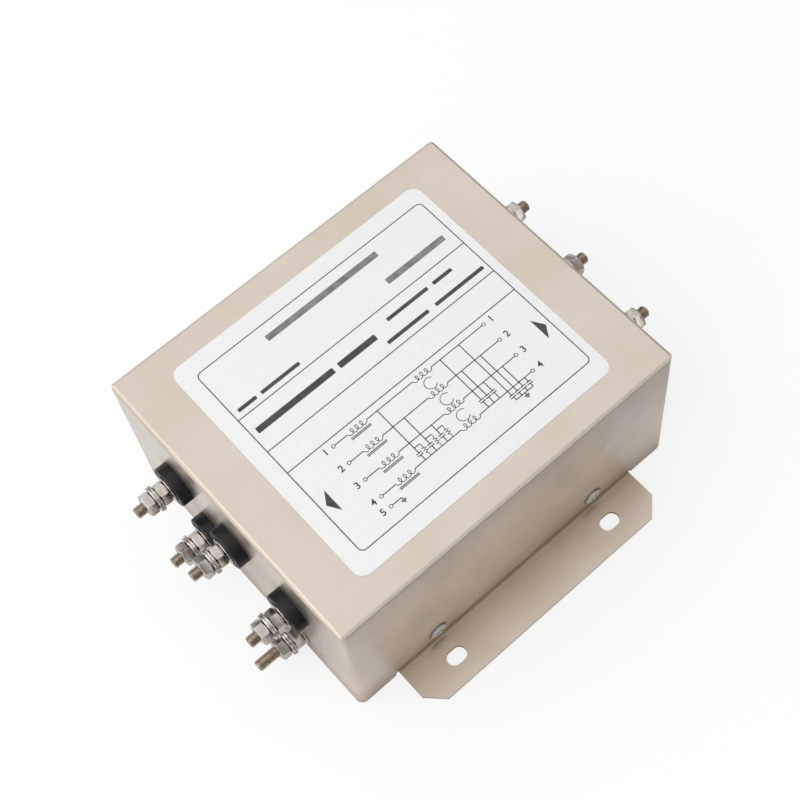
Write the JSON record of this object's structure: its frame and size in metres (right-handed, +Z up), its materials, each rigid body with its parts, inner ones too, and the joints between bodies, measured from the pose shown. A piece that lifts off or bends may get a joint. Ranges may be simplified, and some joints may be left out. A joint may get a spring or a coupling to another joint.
{
  "type": "emi line filter",
  "caption": "Chassis-mount three-phase mains interference filter in a riveted sheet-metal case with flanges and insulated stud terminals.",
  "frame": {"origin": "middle of the case's underside, in the plane that sits on the chassis", "axes": "+X from the line terminals to the load terminals, flanges reach out along Y, +Z up out of the chassis"},
  "size_m": [0.1636, 0.1422, 0.0611],
  "materials": {
    "nickel_plated_sheet": "satin nickel-plated sheet steel",
    "galvanised_sheet": "plain zinc-plated sheet steel",
    "rivet_aluminium": "pressed, satin",
    "label_film": "matt polyester film",
    "bushing_plastic": "moulded glass-filled polyamide, satin",
    "stud_steel": "threaded, passivated",
    "nut_steel": "cold-formed, nickel-plated",
    "washer_steel": "punched, nickel-plated",
    "tinned_copper": "tinned copper",
    "fibre_paper": "pressed insulating fibre",
    "spacer_brass": "turned",
    "board_laminate": "glass-epoxy laminate",
    "powder_core": "epoxy-coated iron powder",
    "ferrite": "sintered ferrite",
    "enamelled_copper": "enamelled copper wire",
    "capacitor_box": "moulded film-capacitor box",
    "small_capacitor_box": "moulded film-capacitor box",
    "resistor_lacquer": "lacquered metal-film resistor",
    "lead_sleeve": "soft sleeve over stranded copper",
    "earth_lead_sleeve": "soft sleeve over stranded copper"
  },
  "bodies": {
    "root": {"cover": "nickel_plated_sheet", "bottom_tray": "galvanised_sheet", "blind_rivets": "rivet_aluminium", "blank_label": "label_film", "line_outer_bushings": "bushing_plastic", "line_inner_bushings": "bushing_plastic", "line_studs": "stud_steel", "line_seat_washers": "washer_steel", "line_clamp_nuts": "nut_steel", "line_flat_washers": "washer_steel", "line_lock_washers": "washer_steel", "line_terminal_nuts": "nut_steel", "line_ring_lugs": "tinned_copper", "line_inner_nuts": "nut_steel", "load_outer_bushings": "bushing_plastic", "load_inner_bushings": "bushing_plastic", "load_studs": "stud_steel", "load_seat_washers": "washer_steel", "load_clamp_nuts": "nut_steel", "load_flat_washers": "washer_steel", "load_lock_washers": "washer_steel", "load_terminal_nuts": "nut_steel", "load_ring_lugs": "tinned_copper", "load_inner_nuts": "nut_steel", "earth_stud": "stud_steel", "earth_seat_washer": "washer_steel", "earth_clamp_nut": "nut_steel", "earth_flat_washer": "washer_steel", "earth_lock_washer": "washer_steel", "earth_terminal_nut": "nut_steel", "earth_ring_lug": "tinned_copper", "earth_inner_nut": "nut_steel", "insulating_liner": "fibre_paper", "board_spacers": "spacer_brass", "circuit_board": "board_laminate", "board_screws": "nut_steel", "line_choke_cores": "powder_core", "line_choke_windings": "enamelled_copper", "common_mode_core": "ferrite", "common_mode_winding_1": "enamelled_copper", "common_mode_winding_2": "enamelled_copper", "common_mode_winding_3": "enamelled_copper", "common_mode_winding_n": "enamelled_copper", "line_x_capacitors": "capacitor_box", "load_x_capacitors": "capacitor_box", "y_capacitors": "small_capacitor_box", "discharge_resistors": "resistor_lacquer", "line_leads": "lead_sleeve", "load_leads": "lead_sleeve", "earth_lead": "earth_lead_sleeve"}
  },
  "joints": []
}
